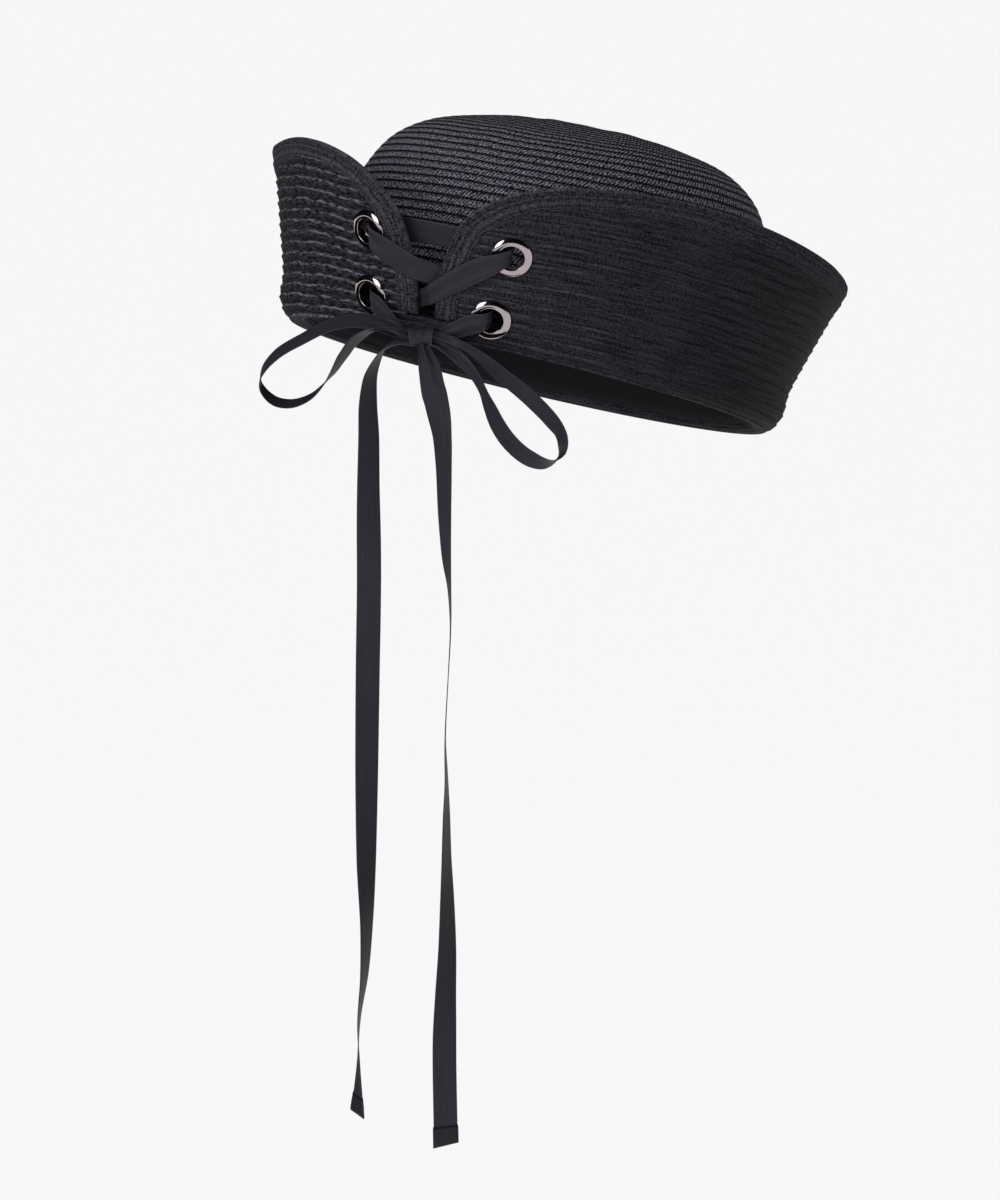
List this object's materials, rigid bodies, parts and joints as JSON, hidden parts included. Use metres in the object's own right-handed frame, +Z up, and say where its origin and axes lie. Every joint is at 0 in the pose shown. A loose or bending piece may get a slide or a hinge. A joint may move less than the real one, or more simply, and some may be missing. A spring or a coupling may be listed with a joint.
{
  "type": "sailor hat",
  "caption": "Black braid sailor hat with a low round crown, a brim turned up all round and slit at the back, and a satin ribbon laced through metal eyelets into a bow with long hanging tails.",
  "frame": {"origin": "middle of the head opening, in the plane of the fold at the foot of the brim, where the hat sits on a head", "axes": "+Z up against gravity as the hat is worn, -Y towards the slit and the bow, +X towards the right flap seen from the slit side; the hat is tipped forward and a little to one side about the origin"},
  "size_m": [0.2191, 0.2614, 0.381],
  "materials": {
    "braid": "matte black sewn braid with fine paler flecks",
    "band_cloth": "plain matte black cloth",
    "satin_ribbon": "charcoal satin",
    "gunmetal": "polished gunmetal plating"
  },
  "bodies": {
    "root": {"crown": "braid", "brim": "braid", "edge_braid": "braid", "sweatband": "band_cloth", "eyelet_upper_left": "gunmetal", "eyelet_upper_right": "gunmetal", "eyelet_lower_left": "gunmetal", "eyelet_lower_right": "gunmetal", "lace": "satin_ribbon", "bow_knot": "satin_ribbon", "bow_loop_left": "satin_ribbon", "bow_loop_right": "satin_ribbon", "ribbon_tail_left": "satin_ribbon", "ribbon_tail_right": "satin_ribbon"}
  },
  "joints": []
}
